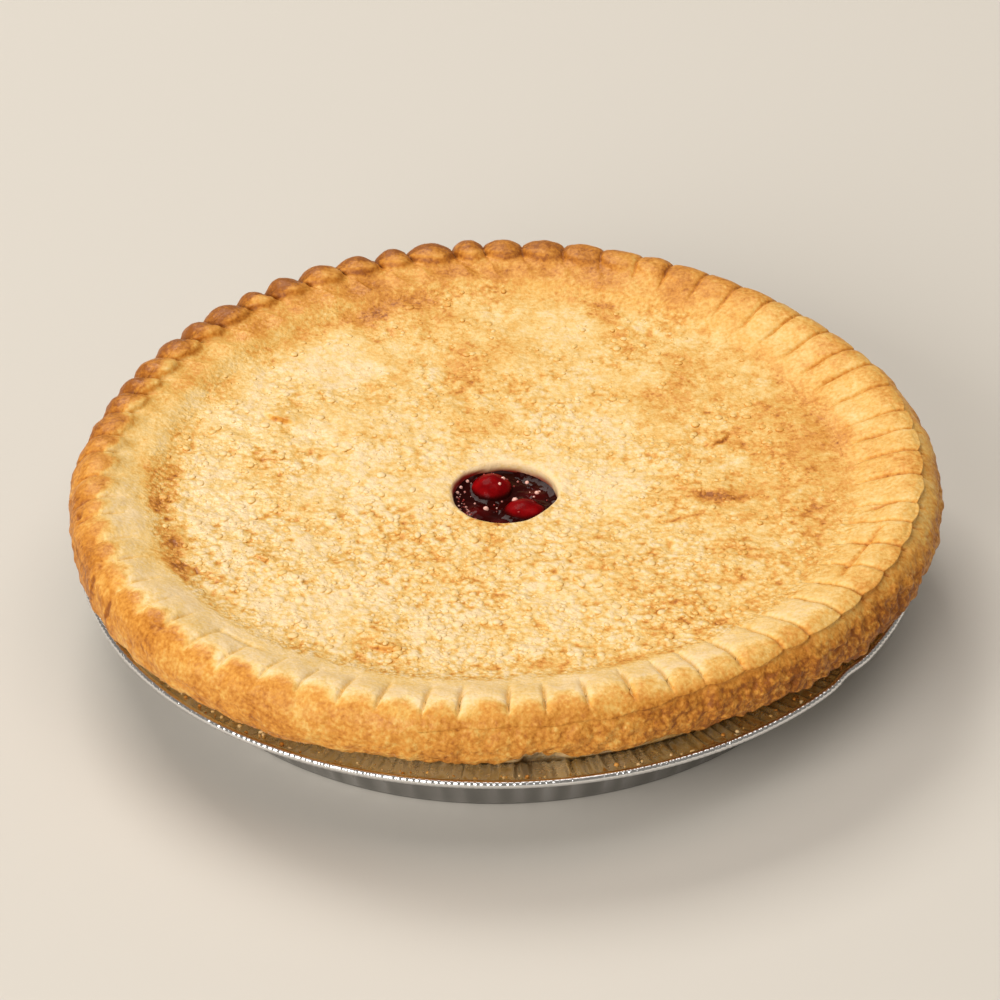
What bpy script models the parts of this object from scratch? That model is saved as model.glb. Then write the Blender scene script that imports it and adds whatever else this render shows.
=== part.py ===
"""A whole cherry pie in the foil pan it was baked in.

Every length is in metres. +Z is up, the pan's flat base stands on Z = 0, and the origin is under
the middle of the crust, which overhangs the pan a little more at the back and on the right. The
crust is one solid, because the pie is uncut. Its lid has one round vent, where the cherry filling
shows with two cherries standing out of it.
"""

import math

import bmesh
import bpy
from mathutils import Matrix, Vector

# ---------------------------------------------------------------- driving sizes
PIE_RADIUS = 0.1276  # widest point of the crust's rim
RIM_TOP = 0.0499  # crest of the crimps above the table
BACK_RISE = 0.0008  # how much higher the crust stands at the back, and lower at the front
CRIMPS = 64
GAP = 0.0003  # between pieces that touch

# Foil pan
PAN_CENTRE = Vector((-0.0018, -0.0012, 0.0))
FOIL = 0.0005
BASE_RADIUS = 0.1022
WALL_TOP_RADIUS = 0.1120
WALL_TOP = 0.0223
FLANGE_RADIUS = 0.1230
FLANGE_RISE = 0.0017
BEAD_RADIUS = 0.0013  # half the thickness of the rolled edge
PLEATS = 82
PLEAT_DEPTH = 0.0008

# Crust rim, a rounded roll of dough that overhangs the pan
ROLL_WIDTH = 0.0090  # half its width
ROLL_HEIGHT = 0.0107  # half its height
ROLL_RADIUS = PIE_RADIUS - ROLL_WIDTH
ROLL_CENTRE = RIM_TOP - ROLL_HEIGHT
CRIMP_DEPTH = 0.0026
CRIMP_INNER_RADIUS = 0.1090
SEAM_ANGLE = math.radians(24)  # where the lid's edge is folded over the lower crust
SEAM_DEPTH = 0.0012

# Lid
LID_RADIUS = 0.1045
LID_EDGE = 0.0432
LID_SAG = 0.0036
LID_RINGS = 6
VENT_RADIUS = 0.0153
VENT_CENTRE = Vector((-0.0003, -0.0052))
VENT_LIP = 0.0016  # rounding of the vent's edge
VENT_PULL_RADIUS = 0.0800  # the lid's rings drift towards the vent inside this radius

# Filling and the cherries that show in the vent
FILLING_TOP = 0.0353
FILLING_FLOOR = 0.0190
CHERRIES = (
    # name, place of its middle from the vent's, half sizes, turn about Z in degrees
    ("cherry_1", Vector((-0.0040, 0.0074, 0.0334)), Vector((0.0061, 0.0060, 0.0058)), 0),
    ("cherry_2", Vector((0.0056, -0.0042, 0.0324)), Vector((0.0072, 0.0057, 0.0054)), 20),
)
CHERRY_SEGMENTS = 16
CHERRY_RINGS = 9

RIM_STEPS = 3 * CRIMPS  # a groove and a two-cornered lobe for each crimp
PLAIN_STEPS = CRIMPS


# ---------------------------------------------------------------- helpers
def clear_scene():
    for old in list(bpy.data.objects):
        bpy.data.objects.remove(old, do_unlink=True)


def smoothstep(low, high, value):
    t = min(1.0, max(0.0, (value - low) / (high - low)))
    return t * t * (3.0 - 2.0 * t)


def make_material(name, colour, roughness, metallic=0.0):
    material = bpy.data.materials.new(name)
    material.use_nodes = True
    shader = material.node_tree.nodes["Principled BSDF"]
    shader.inputs["Base Color"].default_value = (*colour, 1.0)
    shader.inputs["Roughness"].default_value = roughness
    shader.inputs["Metallic"].default_value = metallic
    return material


def add_object(name, bm, material, sharp_angle=35.0):
    """Turns a bmesh into a named object with smooth shading, split where its faces meet sharply."""
    bmesh.ops.recalc_face_normals(bm, faces=bm.faces)
    mesh = bpy.data.meshes.new(name)
    bm.to_mesh(mesh)
    bm.free()
    mesh.shade_smooth()
    mesh.set_sharp_from_angle(angle=math.radians(sharp_angle))
    mesh.materials.append(material)
    obj = bpy.data.objects.new(name, mesh)
    bpy.context.scene.collection.objects.link(obj)
    return obj


def turned(bm, profile):
    """A closed turned shape: one circle for each (radius, height, steps), bridged, and capped."""
    loops = []
    for radius, height, steps in profile:
        made = bmesh.ops.create_circle(
            bm, segments=steps, radius=radius, matrix=Matrix.Translation((0, 0, height))
        )
        loops.append({edge for vert in made["verts"] for edge in vert.link_edges})
    for lower, upper in zip(loops, loops[1:]):
        bmesh.ops.bridge_loops(bm, edges=list(lower | upper))
    for end in (loops[0], loops[-1]):
        bmesh.ops.triangle_fill(bm, edges=list(end), use_beauty=True)


# ---------------------------------------------------------------- foil pan
def pan_inner_profile():
    """The pan's inside, from its base to the middle of the bead."""
    return [
        (BASE_RADIUS - 0.0015, FOIL),
        (BASE_RADIUS, FOIL + 0.0009),
        (WALL_TOP_RADIUS, WALL_TOP),
        (FLANGE_RADIUS, WALL_TOP + FLANGE_RISE),
    ]


def bead_profile():
    """The rolled edge in section: most of a circle that joins the flange's two faces."""
    centre_radius = FLANGE_RADIUS + 0.0004
    centre_height = WALL_TOP + FLANGE_RISE
    corners = 5
    arc = []
    for i in range(corners):
        angle = math.radians(130 - i * 265 / (corners - 1))
        arc.append(
            (
                centre_radius + BEAD_RADIUS * math.cos(angle),
                centre_height + BEAD_RADIUS * math.sin(angle),
            )
        )
    return arc


def pleated(co):
    """Pushes every second point of the wall and flange inwards, as pressed foil is pleated."""
    radius = math.hypot(co.x, co.y)
    angle = math.atan2(co.y, co.x)
    weight = smoothstep(BASE_RADIUS - 0.001, WALL_TOP_RADIUS - 0.004, radius)
    weight *= 1.0 - smoothstep(FLANGE_RADIUS - 0.003, FLANGE_RADIUS, radius)
    fold = 0.5 - 0.5 * math.cos(PLEATS * angle)
    shrink = 1.0 - PLEAT_DEPTH * weight * fold / max(radius, 1e-6)
    return Vector((co.x * shrink, co.y * shrink, co.z))


def build_pan(material):
    inner = pan_inner_profile()
    outer = [(r + FOIL * 0.9, max(0.0, z - FOIL * 0.8)) for r, z in inner[1:-1]]
    outer = [(BASE_RADIUS - 0.0013, 0.0)] + outer
    path = inner[:-1] + bead_profile() + outer[::-1]
    bm = bmesh.new()
    turned(bm, [(r, z, PLEATS if r <= BASE_RADIUS + FOIL else 2 * PLEATS) for r, z in path])
    for vert in bm.verts:
        vert.co = pleated(vert.co) + PAN_CENTRE
    return add_object("foil_pan", bm, material)


# ---------------------------------------------------------------- crust
def lid_height(radius):
    return LID_EDGE - LID_SAG * (1.0 - (radius / LID_RADIUS) ** 2)


def roll_point(angle):
    """A point on the rim's rounded section. Angle 0 is its outer side, and a quarter turn its crest."""
    return (
        ROLL_RADIUS + ROLL_WIDTH * math.cos(angle),
        ROLL_CENTRE + ROLL_HEIGHT * math.sin(angle),
    )


def crust_profile():
    """(radius, height, steps) from the crust's floor, out and up round the rim, in over the lid,
    and down the vent to the floor of the filling's well."""
    slope = (WALL_TOP_RADIUS - BASE_RADIUS) / WALL_TOP
    clearance = PLEAT_DEPTH + 2 * GAP
    floor = FOIL + GAP
    side_top = WALL_TOP - 0.0030
    profile = [
        (0.050, floor, PLAIN_STEPS),
        (BASE_RADIUS - 0.0040, floor, PLAIN_STEPS),
        (BASE_RADIUS - clearance, floor + 0.0025, PLAIN_STEPS),
        (BASE_RADIUS + slope * side_top - clearance, side_top, PLAIN_STEPS),
        (WALL_TOP_RADIUS - 0.0010, WALL_TOP + 0.0008, PLAIN_STEPS),
        (WALL_TOP_RADIUS + 0.0018, WALL_TOP + 0.0014, PLAIN_STEPS),
        (ROLL_RADIUS - 0.0010, WALL_TOP + 0.0042, PLAIN_STEPS),
    ]
    for degrees in (-76, -52, -26, 0):
        profile.append((*roll_point(math.radians(degrees)), PLAIN_STEPS))
    seam = math.degrees(SEAM_ANGLE)
    for degrees in (seam - 9, seam, seam + 9, 52, 72, 92):
        profile.append((*roll_point(math.radians(degrees)), RIM_STEPS))
    crest_radius, crest = roll_point(math.radians(92))
    for share in (0.45, 0.8):
        radius = crest_radius + (LID_RADIUS - crest_radius) * share
        drop = (crest - LID_EDGE) * smoothstep(0.0, 1.0, share)
        profile.append((radius, crest - drop, RIM_STEPS if share < 0.5 else PLAIN_STEPS))
    vent_edge = VENT_RADIUS + VENT_LIP
    for i in range(LID_RINGS):
        radius = LID_RADIUS + (vent_edge - LID_RADIUS) * i / (LID_RINGS - 1)
        profile.append((radius, lid_height(radius), PLAIN_STEPS))
    lip_centre = lid_height(vent_edge) - VENT_LIP
    for degrees in (135, 180):
        angle = math.radians(degrees)
        radius = vent_edge + VENT_LIP * math.cos(angle)
        profile.append((radius, lip_centre + VENT_LIP * math.sin(angle), PLAIN_STEPS))
    profile.append((VENT_RADIUS, FILLING_FLOOR, PLAIN_STEPS))
    return profile


def outline(angle):
    """How far the hand-set crust is from a true circle at this angle, as a factor of its radius."""
    return (
        1.0
        + 0.006 * math.cos(2 * angle)
        + 0.002 * math.sin(2 * angle)
        + 0.011 * math.cos(3 * angle)
        - 0.012 * math.sin(3 * angle)
    )


def outline_centre():
    """The middle of the outline's bounding box, which is set over the origin."""
    turn = [math.radians(d) for d in range(360)]
    xs = [PIE_RADIUS * outline(a) * math.cos(a) for a in turn]
    ys = [PIE_RADIUS * outline(a) * math.sin(a) for a in turn]
    return Vector(((max(xs) + min(xs)) / 2, (max(ys) + min(ys)) / 2, 0.0))


def crimped(co, centre):
    """Moves a point of the turned crust to its place on the real one: the rim is pressed into
    lobes, the seam under them is drawn in, and the outline isn't quite round."""
    radius = math.hypot(co.x, co.y)
    if radius < 1e-6:
        return co + PAN_CENTRE
    angle = math.atan2(co.y, co.x)
    height = co.z
    section = math.atan2(
        (height - ROLL_CENTRE) / ROLL_HEIGHT, (radius - ROLL_RADIUS) / ROLL_WIDTH
    )
    above = smoothstep(SEAM_ANGLE, SEAM_ANGLE + math.radians(22), section)
    pressed = above * smoothstep(CRIMP_INNER_RADIUS, CRIMP_INNER_RADIUS + 0.006, radius)
    groove = (0.5 + 0.5 * math.cos(CRIMPS * angle)) ** 1.6
    depth = CRIMP_DEPTH * pressed * groove
    radius -= depth * 0.55 * max(0.0, math.cos(section))
    height -= depth
    if radius > ROLL_RADIUS:
        off_seam = abs(section - SEAM_ANGLE) / math.radians(6)
        radius -= SEAM_DEPTH * max(0.0, 1.0 - off_seam)
    loose = smoothstep(WALL_TOP_RADIUS + 0.0005, ROLL_RADIUS, math.hypot(co.x, co.y))
    on_lid = smoothstep(0.06, 0.10, radius) * (co.z > WALL_TOP * 1.6)
    loose = max(loose, on_lid)
    radius *= 1.0 + (outline(angle) - 1.0) * loose
    moved = PAN_CENTRE * (1.0 - loose) - centre * loose
    rise = BACK_RISE * smoothstep(WALL_TOP, ROLL_CENTRE, co.z) * co.y / PIE_RADIUS
    x, y = radius * math.cos(angle), radius * math.sin(angle)
    return Vector((x, y, height + rise)) + moved


def pulled_to_vent(co, radius):
    """The rings of the lid close in on the vent, which was cut a little off centre."""
    if co.z < FILLING_FLOOR - GAP:
        return co
    pull = 1.0 - smoothstep(VENT_RADIUS + VENT_LIP, VENT_PULL_RADIUS, radius)
    off_x, off_y = VENT_CENTRE.x - PAN_CENTRE.x, VENT_CENTRE.y - PAN_CENTRE.y
    return Vector((co.x + off_x * pull, co.y + off_y * pull, co.z))


def build_crust(material):
    bm = bmesh.new()
    turned(bm, crust_profile())
    centre = outline_centre()
    for vert in bm.verts:
        radius = math.hypot(vert.co.x, vert.co.y)
        vert.co = pulled_to_vent(crimped(vert.co, centre), radius)
    return add_object("pie_crust", bm, material)


# ---------------------------------------------------------------- filling and cherries
def add_cherry(bm, place, half_sizes, turn, extra=0.0):
    """A pitted cherry: a ball a little out of round, larger by extra all over."""
    place = place + Vector((VENT_CENTRE.x, VENT_CENTRE.y, 0.0))
    sizes = Matrix.Diagonal((*(half + extra for half in half_sizes), 1.0))
    bmesh.ops.create_uvsphere(
        bm,
        u_segments=CHERRY_SEGMENTS,
        v_segments=CHERRY_RINGS,
        radius=1.0,
        matrix=Matrix.Translation(place) @ Matrix.Rotation(math.radians(turn), 4, "Z") @ sizes,
    )


def build_cherries(material):
    for name, place, half_sizes, turn in CHERRIES:
        bm = bmesh.new()
        add_cherry(bm, place, half_sizes, turn)
        add_object(name, bm, material)


def build_filling(material, cutter_material):
    """The thick cherry gel in the vent, hollowed where the cherries sit in it."""
    radius = VENT_RADIUS - GAP
    floor = FILLING_FLOOR + GAP
    bm = bmesh.new()
    turned(bm, [(radius, floor, PLAIN_STEPS), (radius, FILLING_TOP, PLAIN_STEPS)])
    bmesh.ops.translate(bm, verts=bm.verts, vec=(VENT_CENTRE.x, VENT_CENTRE.y, 0.0))
    filling = add_object("cherry_filling", bm, material)
    for name, place, half_sizes, turn in CHERRIES:
        bm = bmesh.new()
        add_cherry(bm, place, half_sizes, turn, extra=GAP)
        cutter = add_object(name + "_seat", bm, cutter_material)
        cutter.hide_render = True
        cutter.display_type = "WIRE"
        seat = filling.modifiers.new(name + "_seat", "BOOLEAN")
        seat.operation = "DIFFERENCE"
        seat.solver = "EXACT"
        seat.object = cutter


def main():
    clear_scene()
    crust = make_material("baked_crust", (0.71, 0.42, 0.14), 0.62)
    gel = make_material("cherry_gel", (0.17, 0.006, 0.010), 0.12)
    cherry = make_material("cherry_skin", (0.26, 0.008, 0.014), 0.18)
    foil = make_material("aluminium_foil", (0.83, 0.83, 0.84), 0.24, metallic=1.0)
    build_pan(foil)
    build_crust(crust)
    build_filling(gel, cherry)
    build_cherries(cherry)


main()
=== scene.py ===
import math
from itertools import product

import bmesh
import bpy
import numpy as np
from mathutils import Matrix, Vector
from mathutils.bvhtree import BVHTree


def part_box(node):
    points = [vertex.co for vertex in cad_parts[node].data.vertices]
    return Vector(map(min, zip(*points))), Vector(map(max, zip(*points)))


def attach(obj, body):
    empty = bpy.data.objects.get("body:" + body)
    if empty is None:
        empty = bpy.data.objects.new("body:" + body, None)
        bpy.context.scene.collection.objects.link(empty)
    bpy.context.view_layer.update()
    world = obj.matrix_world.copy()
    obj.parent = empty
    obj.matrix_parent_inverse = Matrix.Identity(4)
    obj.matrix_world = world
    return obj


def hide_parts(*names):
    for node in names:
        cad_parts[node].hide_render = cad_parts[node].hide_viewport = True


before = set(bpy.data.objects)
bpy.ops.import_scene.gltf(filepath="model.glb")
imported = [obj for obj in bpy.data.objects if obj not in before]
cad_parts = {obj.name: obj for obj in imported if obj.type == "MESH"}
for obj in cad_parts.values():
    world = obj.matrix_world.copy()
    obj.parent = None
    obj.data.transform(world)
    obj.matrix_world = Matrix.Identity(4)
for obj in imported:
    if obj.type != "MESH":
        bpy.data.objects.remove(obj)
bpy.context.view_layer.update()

# ---------------------------------------------------------------- camera
# A long lens, a table's width away and well above the pie, held very slightly askew. The pie
# fills most of the view, and the long lens hardly bends its round outline.
MM = 0.001
LOOK_AT = Vector((-1.9, -1.2, 33.8)) * MM
CAMERA_DISTANCE = 1371.3 * MM
CAMERA_ELEVATION = math.radians(34.53)
CAMERA_ROLL = math.radians(-1.12)

lens = bpy.data.cameras.new("camera")
lens.sensor_width = 36.0
lens.lens = 167.45
camera = bpy.data.objects.new("camera", lens)
bpy.context.scene.collection.objects.link(camera)
towards = Vector((0.0, -math.cos(CAMERA_ELEVATION), math.sin(CAMERA_ELEVATION)))
camera.matrix_world = (
    Matrix.Translation(LOOK_AT + towards * CAMERA_DISTANCE)
    @ Matrix.Rotation(math.pi / 2 - CAMERA_ELEVATION, 4, "X")
    @ Matrix.Rotation(CAMERA_ROLL, 4, "Z")
)
bpy.context.scene.camera = camera

# ---------------------------------------------------------------- foil pan
# A pie pan pressed from thin aluminium foil. Pressing gathers the wall and the flange into sharp
# pleats, and the flange's edge is rolled outwards into a bead, which puckers where it turns.
PAN_STEPS = 960
PAN_FINE_RINGS = (19, 44)  # from the flange's first ring to just past the bead
LAST_BEAD_RING = 43
FOIL = 0.3 * MM
PAN_CENTRE = (-1.8 * MM, -1.2 * MM)
PAN_BASE_RADIUS = 102.2 * MM
PAN_WALL_TOP_RADIUS = 112.0 * MM
PAN_WALL_TOP = 22.3 * MM
PAN_FLANGE_RADIUS = 122.9 * MM
PAN_BEAD_RADIUS = 1.25 * MM
PLEATED_RADIUS = 118 * MM
PLEAT_PITCH = 9.0 * MM
PLEAT_HEIGHT = 0.75 * MM
FLUTE_WIDTH = 1.1 * MM
FLUTE_HEIGHT = 0.9 * MM
CRINKLE_PITCH = 3.2 * MM
PUCKER_PITCH = 1.7 * MM
PUCKER_HEIGHT = 0.32 * MM
PLEAT_GLINT_WIDTH = 2.2 * MM
KNOCK_AT = math.radians(-38)
KNOCK_WIDTH = math.radians(2.6)


def smoothstep(low, high, value):
    t = np.clip((value - low) / (high - low), 0.0, 1.0)
    return t * t * (3.0 - 2.0 * t)


def bumps(points, size, seed):
    """Smooth random swells from -1 to 1, each about size across, at an array of points."""
    cells = 64
    grid = np.random.default_rng(seed).uniform(-1.0, 1.0, (cells, cells, cells))
    spot = points / size + 0.37
    cell = np.floor(spot).astype(int)
    share = spot - cell
    share = share * share * (3.0 - 2.0 * share)
    total = np.zeros(len(points))
    for corner in product((0, 1), repeat=3):
        at = (cell + corner) % cells
        weight = np.where(corner, share, 1.0 - share).prod(axis=1)
        total += weight * grid[at[:, 0], at[:, 1], at[:, 2]]
    return total


def level(x, y):
    """Places as points at one height, for noise that doesn't change with height."""
    return np.stack((x, y, 0 * x), axis=1)


def around(angle, radius=120 * MM):
    """Points on a circle, for noise that runs round the pie and meets itself."""
    return np.stack((radius * np.cos(angle), radius * np.sin(angle), 0.0 * angle), axis=1)


def turned(name, rings, steps, shape, fine=None):
    """Spins a row of points into a disc of numbered rings, then moves each point to where shape
    says. Fine is the first and last ring that have twice the points."""
    bm = bmesh.new()
    number = bm.verts.layers.float.new("ring")
    row = [bm.verts.new((ring + 1.0, 0.0, 0.0)) for ring in range(rings)]
    for ring, vert in enumerate(row):
        vert[number] = ring
    for pair in zip(row, row[1:]):
        bm.edges.new(pair)
    bmesh.ops.spin(
        bm,
        geom=bm.verts[:] + bm.edges[:],
        cent=(0, 0, 0),
        axis=(0, 0, 1),
        angle=math.tau,
        steps=steps // 8,
        use_merge=True,
    )
    cut_rings(bm, number, 0, rings, 7)
    if fine:
        cut_rings(bm, number, *fine, 1)
    flat = np.array([vert.co for vert in bm.verts])
    ring = np.rint([vert[number] for vert in bm.verts]).astype(int)
    points, paint = shape(np.arctan2(flat[:, 1], flat[:, 0]), ring)
    for vert, point in zip(bm.verts, points):
        vert.co = point
    bm.verts.layers.float.remove(number)
    for layer_name, values in paint.items():
        layer = bm.verts.layers.float.new(layer_name)
        for vert, value in zip(bm.verts, values):
            vert[layer] = value
    bmesh.ops.remove_doubles(bm, verts=bm.verts, dist=0.001 * MM)
    bmesh.ops.recalc_face_normals(bm, faces=bm.faces)
    return finished(name, bm)


def cut_rings(bm, number, first, last, cuts):
    """Divides every edge that runs along one of the rings from first to last."""
    along = []
    for edge in bm.edges:
        ends = [round(vert[number]) for vert in edge.verts]
        if ends[0] == ends[1] and first <= ends[0] <= last:
            along.append(edge)
    bmesh.ops.subdivide_edges(bm, edges=along, cuts=cuts, use_grid_fill=True, use_single_edge=True)


def finished(name, bm):
    """Turns a bmesh into a smooth-shaded piece of the scene."""
    mesh = bpy.data.meshes.new(name)
    bm.to_mesh(mesh)
    bm.free()
    mesh.shade_smooth()
    piece = bpy.data.objects.new(name, mesh)
    bpy.context.scene.collection.objects.link(piece)
    return piece


def steps_between(start, end, count):
    """Points on a straight line in section, without its first one."""
    return [
        (start[0] + (end[0] - start[0]) * i / count, start[1] + (end[1] - start[1]) * i / count)
        for i in range(1, count + 1)
    ]


def pan_section():
    """The pan in section, from the middle of its inside, over the bead, to the underside."""
    wall_top = (PAN_WALL_TOP_RADIUS, PAN_WALL_TOP)
    bead = (PAN_FLANGE_RADIUS + 0.6 * MM, PAN_WALL_TOP + 1.7 * MM)
    path = [(0.0, FOIL), (40 * MM, FOIL), (80 * MM, FOIL), (95 * MM, FOIL)]
    path += [(PAN_BASE_RADIUS - 1.6 * MM, FOIL), (PAN_BASE_RADIUS - 0.5 * MM, FOIL + 0.4 * MM)]
    path += [(PAN_BASE_RADIUS, FOIL + 1.2 * MM)]
    path += steps_between(path[-1], wall_top, 12)
    path += steps_between(wall_top, (PAN_FLANGE_RADIUS, bead[1] - 0.1 * MM), 12)
    for i in range(12):
        turn = math.radians(150 - i * 290 / 11)
        path.append(
            (bead[0] + PAN_BEAD_RADIUS * math.cos(turn), bead[1] + PAN_BEAD_RADIUS * math.sin(turn))
        )
    under = (PAN_WALL_TOP_RADIUS + FOIL, PAN_WALL_TOP - FOIL)
    path += steps_between(path[-1], under, 8)
    path += steps_between(under, (PAN_BASE_RADIUS + FOIL, 1.3 * MM), 12)
    path += [(PAN_BASE_RADIUS - 0.3 * MM, 0.3 * MM), (PAN_BASE_RADIUS - 1.5 * MM, 0.0)]
    path += [(95 * MM, 0.0), (60 * MM, 0.0), (0.0, 0.0)]
    return np.array(path)


def creases(pitch, seed):
    """Places round the pan of foil folds about pitch apart, and how far each stands up."""
    rng = np.random.default_rng(seed)
    count = 2 * round(math.tau * PLEATED_RADIUS / pitch)
    place = (np.arange(count) + rng.uniform(-0.33, 0.33, count)) * math.tau / count
    stands = rng.uniform(0.35, 1.0, count) * np.where(np.arange(count) % 2, 1.0, -1.0)
    return place, stands


def shape_pan(angle, ring):
    section = pan_section()
    radius, height = section[ring].T
    pleat = np.interp(angle, *creases(PLEAT_PITCH, 11), period=math.tau)
    crinkle = np.interp(angle, *creases(CRINKLE_PITCH, 12), period=math.tau)
    pucker = np.interp(angle, *creases(PUCKER_PITCH, 13), period=math.tau)
    flute_at = np.sort(creases(PLEAT_PITCH, 11)[0][::2])
    nearest = np.abs((angle[:, None] - flute_at + math.pi) % math.tau - math.pi).min(axis=1)
    flute = np.exp(-((nearest * PLEATED_RADIUS / FLUTE_WIDTH) ** 2))
    on_wall = smoothstep(PAN_BASE_RADIUS, PAN_WALL_TOP_RADIUS, radius)
    above_base = smoothstep(PAN_BASE_RADIUS - 0.5 * MM, PAN_BASE_RADIUS + 3 * MM, radius)
    at_bead = smoothstep(PAN_FLANGE_RADIUS - 2.5 * MM, PAN_FLANGE_RADIUS - 0.4 * MM, radius)
    on_flange = smoothstep(PAN_WALL_TOP_RADIUS - 3 * MM, PAN_WALL_TOP_RADIUS, radius)
    on_flange = on_flange * (1 - at_bead)
    folded = 0.9 * pleat * above_base * (1 - 0.35 * on_flange) + 0.75 * crinkle * on_flange
    fold = PLEAT_HEIGHT * folded * (1 - at_bead)
    fold = fold + FLUTE_HEIGHT * flute * (above_base - at_bead) * (1.5 - 1.1 * on_flange)
    steep = 1 - on_flange
    puckered = PUCKER_HEIGHT * pucker * at_bead * (0.6 + 0.6 * bumps(around(angle), 9 * MM, 16))
    radius = radius - fold * steep + puckered
    height = height + fold * on_flange + 0.6 * puckered
    knock = np.exp(-(((angle - KNOCK_AT) / KNOCK_WIDTH) ** 2))
    radius = radius - 1.0 * MM * knock * at_bead
    wave = bumps(around(angle), 38 * MM, 14)
    height = height + 0.35 * MM * wave * smoothstep(0.5, 1.0, on_wall)
    points = np.stack((radius * np.cos(angle), radius * np.sin(angle), height), axis=1)
    points = points + (*PAN_CENTRE, 0.0)
    # warm film on the flange: a baked-on butter film, partly a painted reflection of the crust
    butter_and_reflection = on_flange * (0.55 + 0.45 * bumps(points, 5 * MM, 15))
    # painted glints: lighter streaks along the pleat ridges of the outer wall
    painted_pleat_glint = np.exp(-((nearest * PLEATED_RADIUS / PLEAT_GLINT_WIDTH) ** 2))
    painted_pleat_glint = painted_pleat_glint * (0.4 + 0.6 * bumps(points, 11 * MM, 17) ** 2)
    # painted shade: the outer wall is darkened, standing in for the shaded table that it reflects
    painted_wall_shade_mask = (ring > LAST_BEAD_RING) * (radius > PAN_BASE_RADIUS - 2 * MM) * (1 - 0.5 * painted_pleat_glint)
    return points, {"butter_and_reflection": butter_and_reflection, "painted_wall_shade": painted_wall_shade_mask}


def new_material(name):
    material = bpy.data.materials.new(name)
    material.use_nodes = True
    return material, material.node_tree, material.node_tree.nodes["Principled BSDF"]


def node(tree, kind, inputs=(), **settings):
    """A node with its settings made and its inputs set, or linked where a socket is given."""
    made = tree.nodes.new("ShaderNode" + kind)
    for key, value in settings.items():
        setattr(made, key, value)
    for key, value in dict(inputs).items():
        if isinstance(value, bpy.types.NodeSocket):
            tree.links.new(value, made.inputs[key])
        else:
            made.inputs[key].default_value = value
    return made


def noise(tree, size, detail=3.0, roughness=0.55):
    """Procedural noise on the object's own coordinates, with features about size across."""
    place = node(tree, "TexCoord")
    inputs = {"Vector": place.outputs["Object"], "Scale": 1 / size, "Detail": detail}
    return node(tree, "TexNoise", {**inputs, "Roughness": roughness}).outputs["Fac"]


def attribute(tree, name):
    return node(tree, "Attribute", attribute_name=name).outputs["Fac"]


def calculate(tree, operation, *values, clamp=False):
    inputs = dict(enumerate(values))
    return node(tree, "Math", inputs, operation=operation, use_clamp=clamp).outputs["Value"]


def ramp(tree, factor, stops):
    """A colour ramp with the given (place, colour) stops."""
    made = node(tree, "ValToRGB", {"Fac": factor})
    elements = made.color_ramp.elements
    while len(elements) < len(stops):
        elements.new(1.0)
    for element, (position, colour) in zip(elements, stops):
        element.position = position
        element.color = (*colour, 1.0)
    return made.outputs["Color"]


def blend(tree, factor, low, high):
    """One colour turning into another as the factor goes from 0 to 1."""
    made = node(tree, "Mix", data_type="RGBA")
    for socket, value in zip((made.inputs[0], made.inputs[6], made.inputs[7]), (factor, low, high)):
        if isinstance(value, bpy.types.NodeSocket):
            tree.links.new(value, socket)
        else:
            socket.default_value = (*value, 1.0) if isinstance(value, tuple) else value
    return made.outputs[2]


BRIGHT_FOIL = (0.80, 0.80, 0.80)
# the flange's butter film, partly a painted reflection of the crust above it
BUTTER_AND_CRUST_REFLECTION_FOIL = (0.77, 0.69, 0.53)
BAKED_ON_RESIDUE = (0.95, 0.86, 0.68)
# painted shade for the pan's outer wall, much darker than bare foil
PAINTED_SHADE_FOIL = (0.29, 0.286, 0.277)


def bumped(tree, height, strength, distance, under=None):
    """Which way a surface faces once small relief is laid over it, or over an earlier bump."""
    inputs = {"Height": height, "Strength": strength, "Distance": distance}
    if under is not None:
        inputs["Normal"] = under
    return node(tree, "Bump", inputs).outputs["Normal"]


def foil_material():
    material, tree, shader = new_material("pressed_foil")
    # butter film on the flange, partly a painted reflection of the crust
    butter_film_and_reflection = calculate(tree, "MULTIPLY", attribute(tree, "butter_and_reflection"), noise(tree, 2.5 * MM), clamp=True)
    colour = blend(tree, butter_film_and_reflection, BRIGHT_FOIL, BUTTER_AND_CRUST_REFLECTION_FOIL)
    spots = noise(tree, 2.2 * MM, 4.0, 0.65)
    residue = calculate(tree, "MULTIPLY_ADD", spots, 9.0, -5.2, clamp=True)
    residue = calculate(tree, "MULTIPLY", residue, attribute(tree, "butter_and_reflection"), clamp=True)
    colour = blend(tree, residue, colour, BAKED_ON_RESIDUE)
    # painted shade on the outer wall, with painted glints on its pleats
    colour = blend(tree, attribute(tree, "painted_wall_shade"), colour, PAINTED_SHADE_FOIL)
    tree.links.new(colour, shader.inputs["Base Color"])
    shader.inputs["Metallic"].default_value = 1.0
    dull = calculate(tree, "MULTIPLY_ADD", noise(tree, 1.2 * MM), 0.16, 0.12)
    dull = calculate(tree, "MULTIPLY_ADD", residue, 0.35, dull)
    tree.links.new(calculate(tree, "MULTIPLY_ADD", butter_film_and_reflection, 0.12, dull), shader.inputs["Roughness"])
    grain = bumped(tree, noise(tree, 0.9 * MM), 0.25, 0.15 * MM)
    tree.links.new(grain, shader.inputs["Normal"])
    return material


pan = turned("foil_pan_pressed", len(pan_section()), PAN_STEPS, shape_pan, fine=PAN_FINE_RINGS)
pan.data.materials.append(foil_material())
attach(pan, "root")
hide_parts("foil_pan")

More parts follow.
